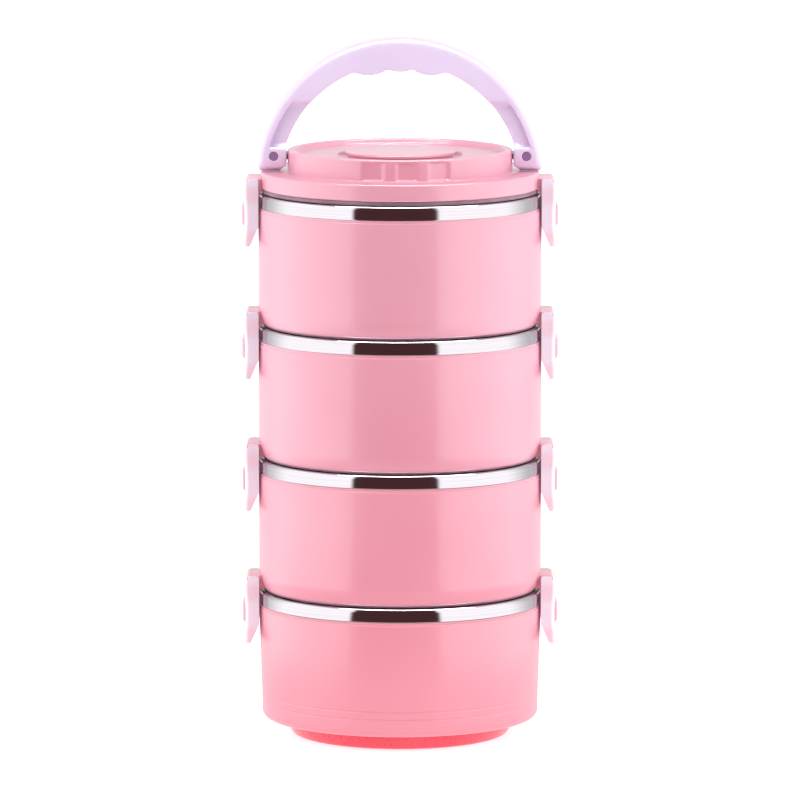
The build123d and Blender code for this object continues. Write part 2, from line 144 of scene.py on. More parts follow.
def roundPath(points, closed):
    # points are (r, z) or (r, z, radius); each radius becomes an arc of a few steps
    path, count = [], len(points)
    for i, point in enumerate(points):
        here = Vector(point[:2])
        radius = point[2] if len(point) > 2 else 0
        if radius == 0 or (not closed and i in (0, count - 1)):
            path.append(tuple(here))
            continue
        before = Vector(points[i - 1][:2]) - here
        after = Vector(points[(i + 1) % count][:2]) - here
        half = before.angle(after) / 2
        reach = min(radius / math.tan(half), before.length * 0.49, after.length * 0.49)
        radius = reach * math.tan(half)
        start, end = here + before.normalized() * reach, here + after.normalized() * reach
        inward = (before.normalized() + after.normalized()).normalized()
        centre = here + inward * (radius / math.sin(half))
        a, b = start - centre, end - centre
        steps = max(3, int(2 + radius * 2.2))
        turn = math.atan2(a.x * b.y - a.y * b.x, a.dot(b))
        for s in range(steps + 1):
            angle = turn * s / steps
            c, n = math.cos(angle), math.sin(angle)
            path.append((centre.x + a.x * c - a.y * n, centre.y + a.x * n + a.y * c))
    return path


def lathe(name, points, closed=True, segments=192, shape=None):
    # turns a path about Z; shape(r, z, angle) may move a point
    path = roundPath(points, closed)
    verts, faces, rings = [], [], []
    for r, z in path:
        ring = []
        if r < 1e-6:
            ring = [len(verts)] * segments
            verts.append((0, 0, z))
        else:
            for s in range(segments):
                angle = 2 * math.pi * s / segments
                rr, zz = shape(r, z, angle) if shape else (r, z)
                ring.append(len(verts))
                verts.append((rr * math.cos(angle), rr * math.sin(angle), zz))
        rings.append(ring)
    pairs = list(zip(rings, rings[1:])) + ([(rings[-1], rings[0])] if closed else [])
    for low, high in pairs:
        for s in range(segments):
            t = (s + 1) % segments
            loop = []
            for v in (low[s], low[t], high[t], high[s]):
                if v not in loop:
                    loop.append(v)
            if len(loop) > 2:
                faces.append(loop)
    return meshPiece(name, verts, faces)


def block(name, low, high, bevel, steps=2):
    # a rounded block between two corners
    piece = meshPiece(name, [(x, y, z) for x in (low[0], high[0]) for y in (low[1], high[1])
                             for z in (low[2], high[2])],
                      [(0, 1, 3, 2), (4, 6, 7, 5), (0, 4, 5, 1), (2, 3, 7, 6), (0, 2, 6, 4), (1, 5, 7, 3)])
    with meshEdit(piece) as bm:
        bmesh.ops.recalc_face_normals(bm, faces=bm.faces)
        bmesh.ops.bevel(bm, geom=list(bm.edges), offset=bevel * mm, segments=steps, profile=0.5,
                        affect="EDGES")
    return piece


def prism(name, outline, half, bevel, steps=2):
    # an outline in X and Z, pulled both ways along Y, with its rims rounded
    count = len(outline)
    verts = [(x, -half, z) for x, z in outline] + [(x, half, z) for x, z in outline]
    faces = [tuple(range(count)), tuple(range(2 * count - 1, count - 1, -1))]
    faces += [(i, (i + 1) % count, count + (i + 1) % count, count + i) for i in range(count)]
    piece = meshPiece(name, verts, faces)
    with meshEdit(piece) as bm:
        bmesh.ops.recalc_face_normals(bm, faces=bm.faces)
        rims = [e for e in bm.edges if abs(e.verts[0].co.y - e.verts[1].co.y) < 1e-7]
        bmesh.ops.bevel(bm, geom=rims, offset=bevel * mm, segments=steps, profile=0.5,
                        affect="EDGES", clamp_overlap=True)
    return piece


def rod(name, centre, axis, radius, half, edge, segments=40):
    # a turned pin along X or Y with chamfered ends
    path = [(0, -half), (radius - edge, -half), (radius, -half + edge), (radius, half - edge),
            (radius - edge, half), (0, half)]
    piece = lathe(name, path, closed=False, segments=segments)
    for v in piece.data.vertices:
        x, y, z = v.co
        v.co = Vector((z, x, y) if axis == "X" else (x, z, y)) + Vector(centre) * mm
    return tidyMesh(piece)


def smoothStep(value, low, high):
    t = min(1.0, max(0.0, (value - low) / (high - low)))
    return t * t * (3 - 2 * t)


def newMaterial(name):
    material = bpy.data.materials.new(name)
    material.use_nodes = True
    return material, material.node_tree, material.node_tree.nodes["Principled BSDF"]


def addNode(tree, kind, **values):
    node = tree.nodes.new(kind)
    for key, value in values.items():
        if key in node.inputs:
            node.inputs[key].default_value = value
        else:
            setattr(node, key, value)
    return node


def linear(rgb):
    # 0-255 screen colour to scene colour
    return tuple((c / 255 / 12.92) if c / 255 <= 0.04045 else ((c / 255 + 0.055) / 1.055) ** 2.4
                 for c in rgb) + (1.0,)


def noiseAt(tree, scale, detail=3.0, stretch=None):
    place = tree.nodes.new("ShaderNodeTexCoord")
    noise = addNode(tree, "ShaderNodeTexNoise", Scale=scale, Detail=detail)
    if stretch:
        mapping = addNode(tree, "ShaderNodeMapping", Scale=stretch)
        tree.links.new(place.outputs["Object"], mapping.inputs["Vector"])
        tree.links.new(mapping.outputs["Vector"], noise.inputs["Vector"])
    else:
        tree.links.new(place.outputs["Object"], noise.inputs["Vector"])
    return noise


def blendColours(tree, factor, first, second, low=0.35, high=0.65):
    ramp = tree.nodes.new("ShaderNodeValToRGB")
    ramp.color_ramp.elements[0].position = low
    ramp.color_ramp.elements[0].color = first
    ramp.color_ramp.elements[1].position = high
    ramp.color_ramp.elements[1].color = second
    tree.links.new(factor, ramp.inputs["Fac"])
    return ramp.outputs["Color"]


def rangeOf(tree, factor, low, high):
    span = addNode(tree, "ShaderNodeMapRange")
    span.inputs["To Min"].default_value = low
    span.inputs["To Max"].default_value = high
    tree.links.new(factor, span.inputs["Value"])
    return span.outputs["Result"]


def addBump(tree, shader, heights, distance):
    # heights are (socket, strength) pairs, stacked one on another
    last = None
    for height, strength in heights:
        bump = addNode(tree, "ShaderNodeBump", Strength=strength, Distance=distance)
        tree.links.new(height, bump.inputs["Height"])
        if last:
            tree.links.new(last.outputs["Normal"], bump.inputs["Normal"])
        last = bump
    tree.links.new(last.outputs["Normal"], shader.inputs["Normal"])


def mathNode(tree, operation, *values):
    node = tree.nodes.new("ShaderNodeMath")
    node.operation = operation
    for index, value in enumerate(values):
        if isinstance(value, (int, float)):
            node.inputs[index].default_value = value
        else:
            tree.links.new(value, node.inputs[index])
    return node.outputs["Value"]


def softStep(tree, value, start, end, low=0.0, high=1.0):
    span = tree.nodes.new("ShaderNodeMapRange")
    span.interpolation_type = "SMOOTHSTEP"
    for name, number in (("From Min", start), ("From Max", end), ("To Min", low), ("To Max", high)):
        span.inputs[name].default_value = number
    tree.links.new(value, span.inputs["Value"])
    return span.outputs["Result"]


def mixTwo(tree, factor, first, second):
    node = tree.nodes.new("ShaderNodeMix")
    node.data_type = "RGBA"
    tree.links.new(factor, node.inputs["Factor"])
    for socket, value in ((node.inputs["A"], first), (node.inputs["B"], second)):
        if isinstance(value, tuple):
            socket.default_value = value + (1.0,)
        else:
            tree.links.new(value, socket)
    return node.outputs["Result"]


def axesOf(tree, output="Object", turn=0.0):
    # the point being shaded, as three sockets and its distance from the Z axis
    place = tree.nodes.new("ShaderNodeTexCoord")
    spin = tree.nodes.new("ShaderNodeMapping")
    spin.inputs["Rotation"].default_value[2] = turn
    tree.links.new(place.outputs[output], spin.inputs["Vector"])
    split = tree.nodes.new("ShaderNodeSeparateXYZ")
    tree.links.new(spin.outputs["Vector"], split.inputs["Vector"])
    x, y, z = (split.outputs[axis] for axis in "XYZ")
    squares = mathNode(tree, "ADD", mathNode(tree, "MULTIPLY", x, x), mathNode(tree, "MULTIPLY", y, y))
    return x, y, z, mathNode(tree, "POWER", squares, 0.5)


def forCamera(tree, others, seen):
    # one shader for what the camera sees directly, the other for every other ray
    sight = tree.nodes.new("ShaderNodeLightPath")
    mix = tree.nodes.new("ShaderNodeMixShader")
    tree.links.new(sight.outputs["Is Camera Ray"], mix.inputs["Fac"])
    tree.links.new(others, mix.inputs[1])
    tree.links.new(seen, mix.inputs[2])
    return mix.outputs["Shader"]


def paintedBleedColour(tree, look, colour):
    # painted pink light, bled from the pink ears and walls onto the white plastic, in even bands up the
    # stack
    turn = 2 * math.pi / look["paintedBleedPitch"]
    height = axesOf(tree)[2]
    wave = mathNode(tree, "COSINE", mathNode(tree, "MULTIPLY_ADD", height, turn / mm,
                                             -look["paintedBleedStart"] * turn))
    return mixTwo(tree, softStep(tree, wave, -0.2, 1.0, 0.0, 0.65), colour, linear(look["paintedBleed"])[:3])


def mouldedPlastic(name, look):
    # moulded plastic: faint cloud in the colour, fine moulded skin, hairline handling marks
    material, tree, shader = newMaterial(name)
    cloud = noiseAt(tree, look["cloudScale"], 2.0)
    colour = blendColours(tree, cloud.outputs["Fac"], linear(look["deep"]), linear(look["light"]))
    # painted pink light bled from the pink ears, when the look carries it
    if "paintedBleed" in look:
        colour = paintedBleedColour(tree, look, colour)
    tree.links.new(colour, shader.inputs["Base Color"])
    skin = noiseAt(tree, look["skinScale"], 2.0)
    marks = noiseAt(tree, 900, 4.0, (1.0, 1.0, 0.06))
    tree.links.new(rangeOf(tree, marks.outputs["Fac"], look["roughness"] - 0.05, look["roughness"] + 0.06),
                   shader.inputs["Roughness"])
    addBump(tree, shader, [(skin.outputs["Fac"], look["skin"]), (marks.outputs["Fac"], look["skin"] * 0.5)],
            0.00002)
    shader.inputs["Specular IOR Level"].default_value = look["shine"]
    shader.inputs["Subsurface Weight"].default_value = look["glow"]
    shader.inputs["Subsurface Radius"].default_value = look["glowReach"]
    shader.inputs["Subsurface Scale"].default_value = 0.002
    shader.inputs["Coat Weight"].default_value = look["coat"]
    shader.inputs["Coat Roughness"].default_value = 0.12
    return material


def polishedSteel(name, look):
    # pressed steel, polished round the rim: fine lines run round the bowl, with faint smudges
    material, tree, shader = newMaterial(name)
    _, _, z, reach = axesOf(tree)
    turned = tree.nodes.new("ShaderNodeCombineXYZ")
    tree.links.new(reach, turned.inputs["X"])
    tree.links.new(z, turned.inputs["Z"])
    lines = addNode(tree, "ShaderNodeTexNoise", Scale=look["lineScale"], Detail=6.0, Roughness=0.7)
    tree.links.new(turned.outputs["Vector"], lines.inputs["Vector"])
    smudge = noiseAt(tree, 55, 3.0)
    mixed = mathNode(tree, "MULTIPLY", lines.outputs["Fac"], smudge.outputs["Fac"])
    tree.links.new(rangeOf(tree, mixed, look["roughLow"], look["roughHigh"]), shader.inputs["Roughness"])
    tree.links.new(blendColours(tree, lines.outputs["Fac"], linear(look["dark"]), linear(look["bright"])),
                   shader.inputs["Base Color"])
    addBump(tree, shader, [(lines.outputs["Fac"], look["line"])], 0.00001)
    shader.inputs["Metallic"].default_value = look["metal"]
    return material


def softSeal(name, look):
    # silicone: cloudy, matt, with a slight bloom
    material, tree, shader = newMaterial(name)
    cloud = noiseAt(tree, 120, 3.0)
    tree.links.new(blendColours(tree, cloud.outputs["Fac"], linear(look["deep"]), linear(look["light"])),
                   shader.inputs["Base Color"])
    tree.links.new(rangeOf(tree, cloud.outputs["Fac"], 0.42, 0.6), shader.inputs["Roughness"])
    grain = noiseAt(tree, 2500, 2.0)
    addBump(tree, shader, [(grain.outputs["Fac"], 0.2)], 0.00002)
    shader.inputs["Subsurface Weight"].default_value = 0.2
    shader.inputs["Subsurface Scale"].default_value = 0.002
    return material


# one copy of the same pink for each part, warmer and deeper towards the bottom tier: painted warm light from
# below
pinkLooksPaintedWarmth = {
    1: {"deep": (227, 151, 166), "light": (229, 155, 170)},
    2: {"deep": (224, 151, 168), "light": (227, 156, 172)},
    3: {"deep": (222, 153, 170), "light": (225, 158, 175)},
    4: {"deep": (221, 155, 173), "light": (224, 160, 177)},
    "lid": {"deep": (221, 156, 174), "light": (224, 161, 178)},
    "pad": {"deep": (223, 157, 174), "light": (228, 165, 181)},
}
pinkFinish = {"cloudScale": 18, "skinScale": 1800, "skin": 0.12, "roughness": 0.32, "shine": 0.5,
              "glow": 0.1, "glowReach": (1.0, 0.45, 0.4), "coat": 0.5}
whiteFinish = {**pinkFinish, "cloudScale": 30, "roughness": 0.3, "glowReach": (1.0, 0.8, 0.9)}
# painted pink light from the pink ears on the white latches: its colour, the band pitch and the first band's
# height
latchPaintedBleed = {"paintedBleed": (250, 214, 226), "paintedBleedPitch": 20.4, "paintedBleedStart": 67.0}


def plastic(name, finish, deep, light, **changes):
    return mouldedPlastic(name, {**finish, "deep": deep, "light": light, **changes})


def metal(name, dark, bright, lineScale, line, rough, metallic=1.0):
    return polishedSteel(name, {"dark": dark, "bright": bright, "lineScale": lineScale, "line": line,
                                "roughLow": rough[0], "roughHigh": rough[1], "metal": metallic})


pinks = {key: plastic(f"pinkPlastic{str(key).capitalize()}", pinkFinish, **look)
         for key, look in pinkLooksPaintedWarmth.items()}
coral = plastic("coralPlastic", pinkFinish, (226, 67, 88), (231, 78, 97), roughness=0.28)
white = plastic("whitePlastic", whiteFinish, (223, 210, 238), (228, 216, 242))
# the handle's white plastic made lighter on the latches: painted light to make up for the shade beside the
# wall
latchWhitePaintedLight = plastic("latchPlastic", whiteFinish, (240, 234, 250), (246, 241, 254), **latchPaintedBleed)
linerWhite = plastic("linerPlastic", pinkFinish, (220, 214, 216), (230, 225, 226), roughness=0.45, coat=0.0)
steel = metal("rimSteel", (166, 162, 166), (182, 179, 183), 2600, 0.2, (0.04, 0.16))
pinSteel = metal("pinSteel", (150, 140, 152), (182, 172, 186), 3000, 0.3, (0.25, 0.45))
headSteel = metal("headSteel", (142, 110, 152), (160, 128, 170), 3000, 0.3, (0.4, 0.55), 0.35)
sealGrey = softSeal("sealSilicone", {"deep": (126, 96, 112), "light": (146, 114, 130)})
print("materials ready")


tierLook = {
    "neckStep": 0.85,      # the steel band's thickness, where the shell steps in under it
    "band": 6.4,
    "lipHeight": 0.7,      # small bead of plastic just under the band
    "lipSink": 0.35,
    "wall": 2.2,
    "tuck": 8.0,
    "tuckDepth": 1.9,
    "seam": 1.0,
    "segments": 240,
}
skirtLook = {"skirtOuter": 57.9, "skirtWall": 3.0, "skirtDrop": 3.0}


def shellInside(rim, floor, insideLow, look):
    inner, throat = bodyRadius - look["wall"], bodyRadius - look["neckStep"] - 0.1
    top = rim - 0.9
    return [(throat, rim - look["band"] + 0.02, 0), (throat, top, 0.2), (inner, top, 0.2),
            (inner, floor + 10, 4), (insideLow, floor, 4), (0, floor)]


def underBand(rim, look):
    # the wall's last stretch: a shallow groove line, then a small bead that meets the steel
    step, lip, sink = rim - look["band"], look["lipHeight"], look["lipSink"]
    return [(bodyRadius, step - lip - 0.9, 0.3), (bodyRadius - sink, step - lip - 0.35, 0.15),
            (bodyRadius - sink * 0.2, step - lip * 0.5, 0.25), (bodyRadius - 0.25, step, 0.1)]


def bottomShell():
    look = {**tierLook, "corner": 7.0, "lowRadius": 63.6, "grooves": (16.2, 19.8), "grooveSink": 0.32,
            "grooveWidth": 0.85}
    rim = rimTops[1]
    low = look["lowRadius"]
    slope = (bodyRadius - low) / (rim - look["band"] - footTop - look["corner"])

    def wallAt(z):
        return low + slope * (z - footTop - look["corner"])

    points = [(0, footTop), (low, footTop, look["corner"])]
    for z in look["grooves"]:
        half = look["grooveWidth"] / 2
        points += [(wallAt(z - half * 1.8), z - half * 1.8, 0), (wallAt(z - half), z - half, 0.25),
                   (wallAt(z) - look["grooveSink"], z, 0.3), (wallAt(z + half), z + half, 0.25),
                   (wallAt(z + half * 1.8), z + half * 1.8, 0)]
    points += underBand(rim, look)
    points += shellInside(rim, footTop + look["wall"], low - look["corner"], look)
    piece = lathe("bottomShell", points, closed=False, segments=look["segments"])
    return tidyMesh(piece)


def upperShell(level):
    look = {**tierLook, **skirtLook, "edgeRound": 0.55, "foot": 0.8}
    rim, lower = rimTops[level], rimTops[level - 1]
    base, hem = lower + look["seam"], lower - look["skirtDrop"]
    edge = bodyRadius - look["tuckDepth"]
    skirtOut, skirtIn = look["skirtOuter"], look["skirtOuter"] - look["skirtWall"]
    points = [(0, base), (skirtIn, base, 0.6), (skirtIn, hem, 0.7), (skirtOut, hem, 0.7),
              (skirtOut, base, 0.3), (edge - 0.5, base, look["edgeRound"]), (edge, base + look["foot"], 0.6)]
    for s in range(1, 9):  # the wall swells out to its full width
        t = s / 8
        points.append((edge + look["tuckDepth"] * math.sin(t * math.pi / 2),
                       base + look["foot"] + (look["tuck"] - look["foot"]) * t))
    points += underBand(rim, look)
    points += shellInside(rim, base + look["wall"], edge - look["wall"], look)
    return tidyMesh(lathe(f"upperShell{level}", points, closed=False, segments=look["segments"]))


earLook = {"halfWidth": 11.45, "halfHeight": 2.97, "reach": 2.5, "nose": 1.3, "edge": 0.35,
           "tierRoot": 61.8, "lidRoot": 62.6}


def earPiece(level, name, side, root, body, material):
    # a stout ear on the wall, its nose a little past the hinge pin
    look = earLook
    z, nose = rimTops[level] + hingeLift, hingeX + look["reach"]
    low, high = z - look["halfHeight"], z + look["halfHeight"]
    outline = roundPath([(root, low), (nose, low, look["nose"]), (nose, high, look["nose"]),
                         (root, high)], True)
    ear = prism(f"hingeEar{level}{name.capitalize()}", [(x * side, zz) for x, zz in outline],
                look["halfWidth"], look["edge"], 3)
    fitPiece(tidyMesh(ear), body, [f"hinge_ear_{level}_{name}"], material)


def catchLugs(level):
    look = {"reach": 65.85, "root": 63.6, "height": 2.8, "halfWidth": 7.0}
    top = rimTops[level] - tierLook["band"]
    parts = []
    for _, side in sides:
        near, far = sorted((look["root"] * side, look["reach"] * side))
        parts.append(block("lug", (near, -look["halfWidth"], top - look["height"]),
                           (far, look["halfWidth"], top - 0.05), 0.25))
    return parts


def steelBowl(level):
    look = {"inside": 58.5, "steel": 0.8, "corner": 8.0, "roll": 1.0, "hem": 0.45}
    rim = rimTops[level]
    floor = nodeBox(f"steel_bowl_{level}")[0][2]
    step = rim - tierLook["band"]
    inner, thick = look["inside"], look["steel"]
    points = [(0, floor), (inner + thick, floor, look["corner"]), (inner + thick, rim - thick, 0.3),
              (bodyRadius - thick, rim - thick, 0.3), (bodyRadius - thick, step + 0.02, 0.05),
              (bodyRadius - 0.12, step + 0.02, 0.1), (bodyRadius, step + look["hem"], 0.3),
              (bodyRadius - 0.03, rim - 1.6, 1.0), (bodyRadius - 0.35, rim, look["roll"]),
              (inner + 2.2, rim - 0.05, 0.8), (inner, rim - 0.4, 1.2),
              (inner, floor + thick, look["corner"] - thick), (0, floor + thick)]
    return tidyMesh(lathe(f"steelBowl{level}", points, closed=False, segments=240))


def sealPiece(name, node, outerBulge):
    low, high = nodeBox(node)
    inner, outer = 58.6, high[0]
    top, base = high[2], low[2]
    points = [(inner, base, 0.2), (outer - 0.3, base, 0.3), (outer, (top + base) / 2, outerBulge),
              (outer - 0.3, top - 0.02, 0.3), (inner, top - 0.02, 0.2)]
    return tidyMesh(lathe(name, points, closed=True, segments=160))


for level in (1, 2, 3, 4):
    body = f"tier_{level}"
    shell = bottomShell() if level == 1 else upperShell(level)
    shell = tidyMesh(join(f"shell{level}", [shell] + catchLugs(level)))
    fitPiece(shell, body, [f"outer_shell_{level}"], pinks[level])
    fitPiece(steelBowl(level), body, [f"steel_bowl_{level}"], steel)
    if level > 1:
        for name, side in sides:
            earPiece(level - 1, name, side, earLook["tierRoot"], body, pinks[level])
        fitPiece(sealPiece(f"sealRing{level}", f"seal_ring_{level}", 0.6), body, [f"seal_ring_{level}"],
                 sealGrey)
print("tiers built")


footLook = {
    "top": 53.8,
    "waist": 51.2,
    "waistHeight": 3.6,
    "toe": 47.0,
    "toeInner": 43.2,
    "wall": 2.2,
    "sole": 0.5,
    "well": (3.4, 3.1, 1.9),   # mouth radius, floor radius and depth of each screw well
    "head": 2.8,
    "slotHalf": (1.5, 0.3),
}


def screwPlaces():
    for number in (1, 2, 3):
        low, high = nodeBox(f"foot_screw_{number}")
        yield number, (low[0] + high[0]) / 2, (low[1] + high[1]) / 2, low[2], high[2]


def footPiece():
    look = footLook
    top, waist, toe, wall = look["top"], look["waist"], look["toe"], look["wall"]
    points = [(0, look["sole"]), (look["toeInner"] - 0.7, look["sole"], 0.5), (look["toeInner"], 0, 0.4),
              (toe, 0, 1.2), (toe + 2.6, 0.85, 2.0), (waist, look["waistHeight"], 2.5),
              (top - 0.1, footTop - 0.3, 0.5), (top - 0.6, footTop, 0.2), (top - wall, footTop, 0.2),
              (waist - wall, look["waistHeight"], 1.0), (toe - wall, wall, 1.0), (0, wall)]
    foot = tidyMesh(lathe("baseFoot", points, closed=False, segments=200))
    mouth, inner, depth = look["well"]
    for _, x, y, _, _ in screwPlaces():
        well = lathe("well", [(0, -1), (mouth, -1), (inner, depth, 0.2), (0, depth)], closed=False,
                     segments=48)
        carve(foot, tidyMesh(movePiece(well, lambda a, b, c: (a + x, b + y, c))))
    return tidyMesh(foot)


def footScrews():
    # pan heads with a cross recess, sunk in small wells
    radius = footLook["head"]
    long, narrow = footLook["slotHalf"]
    for number, x, y, z, shank in screwPlaces():
        path = [(0, z + 0.05), (radius - 0.7, z, 0.3), (radius, z + 0.7, 0.3), (radius, z + 1.8),
                (1.5, z + 1.8), (1.5, shank), (0, shank)]
        head = lathe(f"footScrew{number}", path, closed=False, segments=48)
        tidyMesh(movePiece(head, lambda a, b, c: (a + x, b + y, c)))
        for dx, dy in ((long, narrow), (narrow, long)):
            carve(head, block("cut", (x - dx, y - dy, z - 1), (x + dx, y + dy, z + 0.8), 0.05))
        fitPiece(head, "tier_1", [f"foot_screw_{number}"], pinSteel)


def carve(piece, cutter):
    tool = piece.modifiers.new("carve", "BOOLEAN")
    tool.object = cutter
    tool.operation = "DIFFERENCE"
    tool.solver = "EXACT"
    bakeModifiers(piece)
    dropPiece(cutter)


fitPiece(footPiece(), "tier_1", ["base_foot"], coral)
footScrews()
print("foot built")


lidLook = {
    "lowRadius": 64.0,
    "step": 7.7,
    "upperRadius": 51.5,
    "ledgeEdge": 0.9,
    "topEdge": 0.8,
    "border": 3.4,
    "dish": 2.3,
    "flutes": 3,
    "flutePitch": 15.3,
    "fluteShift": 3.1,
    "fluteWidth": 9.4,
    "fluteSink": 1.05,
    "wellReach": 28.6,
    "wellInner": 24.0,
    "wellSink": 1.15,
    "wall": 2.2,
    "plate": 3.0,      # how far the dish's underside lies below its floor
    "throat": 14.1,    # the vent's tube, inside and outside
    "tube": 16.1,
    "segments": 480,
}
ledge = ledgeBase + lidLook["step"]
dishFloor = lidTop - lidLook["dish"]


def lidShape(r, z, angle):
    look = lidLook
    # scooped flutes on the front of the upper wall
    if z > ledge + 0.3 and r > look["upperRadius"] - 2.5:
        across = (angle + math.pi / 2 + math.pi) % (2 * math.pi) - math.pi
        arc = across * look["upperRadius"]
        height = smoothStep(z, ledge + 0.3, ledge + 1.0) * (1 - smoothStep(z, lidTop - 1.9, lidTop - 0.8))
        for number in range(look["flutes"]):
            middle = look["fluteShift"] + (number - 1) * look["flutePitch"]
            off = abs(arc - middle) / (look["fluteWidth"] / 2)
            if off < 1.25:
                scoop = math.sqrt(max(0, 1 - (off * 0.8) ** 2))
                r -= look["fluteSink"] * scoop * (1 - smoothStep(off, 0.8, 1.25)) * height
    return r, z


def lidCover():
    look = lidLook
    low, up, wall = look["lowRadius"], look["upperRadius"], look["wall"]
    throat, tube, under = look["throat"], look["tube"], dishFloor - look["plate"]
    dishEdge = up - look["border"]
    points = [(low - 0.45, ledgeBase, 0.2), (low, ledgeBase + 0.5, 0.3), (low, ledge, look["ledgeEdge"]),
              (up + 0.05, ledge, 0.35)]
    for s in range(1, 22):
        points.append((up, ledge + (lidTop - ledge - 1.0) * s / 22))
    well = dishFloor - look["wellSink"]
    points += [(up, lidTop, look["topEdge"]), (dishEdge, lidTop, 0.7), (dishEdge - 1.0, dishFloor, 0.9),
               (look["wellReach"], dishFloor, 0.25), (look["wellReach"] - 0.35, well, 0.25),
               (look["wellInner"], well, 0.2), (look["wellInner"], dishFloor, 0.2),
               (throat + 0.5, dishFloor, 0.3), (throat, dishFloor - 0.5, 0.2), (throat, ledgeBase + wall),
               (tube, ledgeBase + wall), (tube, under), (up - wall, under), (up - wall, ledge - wall),
               (low - wall, ledge - wall), (low - wall, ledgeBase)]
    body = lathe("lidCover", points, closed=True, segments=look["segments"], shape=lidShape)
    body = tidyMesh(body, 32)
    for _, side in sides:  # blind bores for the stub shafts
        shaftEnd = nodeBox("pivot_shaft_right")[0][0] - 0.12
        carve(body, rod("bore", (side * (shaftEnd + 4), 0, swingZ), "X", 2.0, 4.0, 0.3))
    return tidyMesh(body, 32)


fitPiece(lidCover(), "lid", ["lid_cover"], pinks["lid"])
for name, side in sides:
    earPiece(4, name, side, earLook["lidRoot"], "lid", pinks["lid"])


def lidLiner():
    look = {**skirtLook, "radius": 61.7, "thick": 2.2, "vent": 2.0}
    skirtOut, skirtIn = look["skirtOuter"], look["skirtOuter"] - look["skirtWall"]
    base, top, hem = ledgeBase + 0.02, ledgeBase + look["thick"], rimTops[4] - look["skirtDrop"]
    points = [(look["vent"], base, 0.2), (skirtIn, base, 0.8), (skirtIn, hem, 0.8), (skirtOut, hem, 0.8),
              (skirtOut, base, 0.3), (look["radius"], base, 0.1), (look["radius"], top, 0.1),
              (look["vent"], top, 0.2)]
    return tidyMesh(lathe("lidLiner", points, closed=True, segments=160))


fitPiece(lidLiner(), "lid", ["lid_liner"], linerWhite)
fitPiece(sealPiece("lidSeal", "lid_seal", 0.7), "lid", ["lid_seal"], sealGrey)


def ventCap():
    look = {"radius": 25.5, "edge": 0.55, "stem": 12.0, "flange": 12.9, "crown": 0.12}
    low, high = nodeBox("vent_cap")
    neck = nodeBox("vent_seal")[0][2] + 0.02
    base, top = low[2], high[2]
    under, radius = top - 1.5, look["radius"]
    points = [(0, top), (radius * 0.6, top - look["crown"] * 0.25, 0),
              (radius, top - look["crown"], look["edge"]), (radius - 0.1, under, 0.25),
              (look["stem"], under, 0.3), (look["stem"], neck, 0), (look["flange"], neck, 0.1),
              (look["flange"], base, 0.3), (0, base)]
    return tidyMesh(lathe("ventCap", points, closed=False, segments=200))


fitPiece(ventCap(), "vent", ["vent_cap"], pinks["lid"])


def ventSeal():
    low, high = nodeBox("vent_seal")
    inner, outer = 12.02, high[0]
    points = [(inner, low[2] + 0.03, 0.1)]
    for s in range(3):  # three soft ribs
        z = low[2] + (high[2] - low[2]) * (s + 0.5) / 3
        points += [(outer - 0.5, z - 0.45, 0.15), (outer, z, 0.25), (outer - 0.5, z + 0.45, 0.15)]
    points += [(inner, high[2], 0.1)]
    return tidyMesh(lathe("ventSeal", points, closed=True, segments=96))


fitPiece(ventSeal(), "vent", ["vent_seal"], sealGrey)
print("lid built")


latchLook = {
    "hook": (66.25, 70.4, 7, 12.1, 9.85),   # near, far, half width, then how far below the rim
    "ribReach": (69.0, 70.2, 11.5),
    "ribs": ((-1.0, 1.0, 20.5), (-6.5, -5.0, 20.0), (5.0, 6.5, 20.0)),
    "inner": 64.75,        # inner edge of the cheeks
    "face": 71.6,
    "waist": 0.55,         # how far the face draws in half way down
    "halfWidth": 13.35,
    "thick": 1.5,
    "corner": 1.7,
    "height": 31.1,
    "top": 7.15,           # above the rim
    "head": 1.7,           # height of the rounding along the head
    "chamfer": 9.0,
    "tip": 3.0,
    "webTop": -1.4,
    "padTop": 12.0,
    "padHeight": 9.8,
    "padHalf": 8.5,
}


def coons(left, right, top, bottom, u, v):
    # a four-sided patch; u runs across, v runs down
    a, b, c, d = top(0), top(1), bottom(0), bottom(1)
    result = []
    for k in (0, 1):
        ruledU = left(v)[k] * (1 - u) + right(v)[k] * u
        ruledV = top(u)[k] * (1 - v) + bottom(u)[k] * v
        corners = a[k] * (1 - u) * (1 - v) + b[k] * u * (1 - v) + c[k] * (1 - u) * v + d[k] * u * v
        result.append(ruledU + ruledV - corners)
    return result


def faceLine(look, z):
    # outer face of a latch: full at the top, drawn in at the waist, flared at the tip
    top, tip = look["top"], look["top"] - look["height"]
    t = (top - 4.0 - z) / (top - 4.0 - tip)
    t = min(1, max(0, t))
    return look["face"] - look["waist"] * math.sin(math.pi * t) ** 1.5


def latchSkin(look):
    # outer skin of a right-hand latch as one grid: front cheek, web, back cheek
    top, tip = look["top"], look["top"] - look["height"]
    shoulder = top - look["head"]
    slope = look["chamfer"] / (look["face"] - look["tip"] - look["inner"])

    def left(v):
        z = shoulder + (tip + look["chamfer"] - shoulder) * v
        return look["inner"], z

    def right(v):
        z = shoulder + (bottom(1)[1] - shoulder) * v
        return faceLine(look, z) - look["corner"], z

    def topArc(u):
        a = math.pi * (1 - u)
        middle = (look["inner"] + look["face"] - look["corner"]) / 2
        half = (look["face"] - look["corner"] - look["inner"]) / 2
        flatness = 0.52
        c, s = math.cos(a), math.sin(a)
        x = middle + half * math.copysign(abs(c) ** flatness, c)
        return x, shoulder + (top - shoulder) * s ** flatness

    def bottom(u):
        # the finger tip: a straight slope that runs into a soft round end
        x = look["inner"] + (faceLine(look, tip) - look["corner"] - look["inner"]) * u
        height = look["chamfer"] - slope * (x - look["inner"])
        return x, tip + 0.1 + 0.45 * math.log(1 + math.exp(height / 0.45))
    return left, right, topArc, bottom


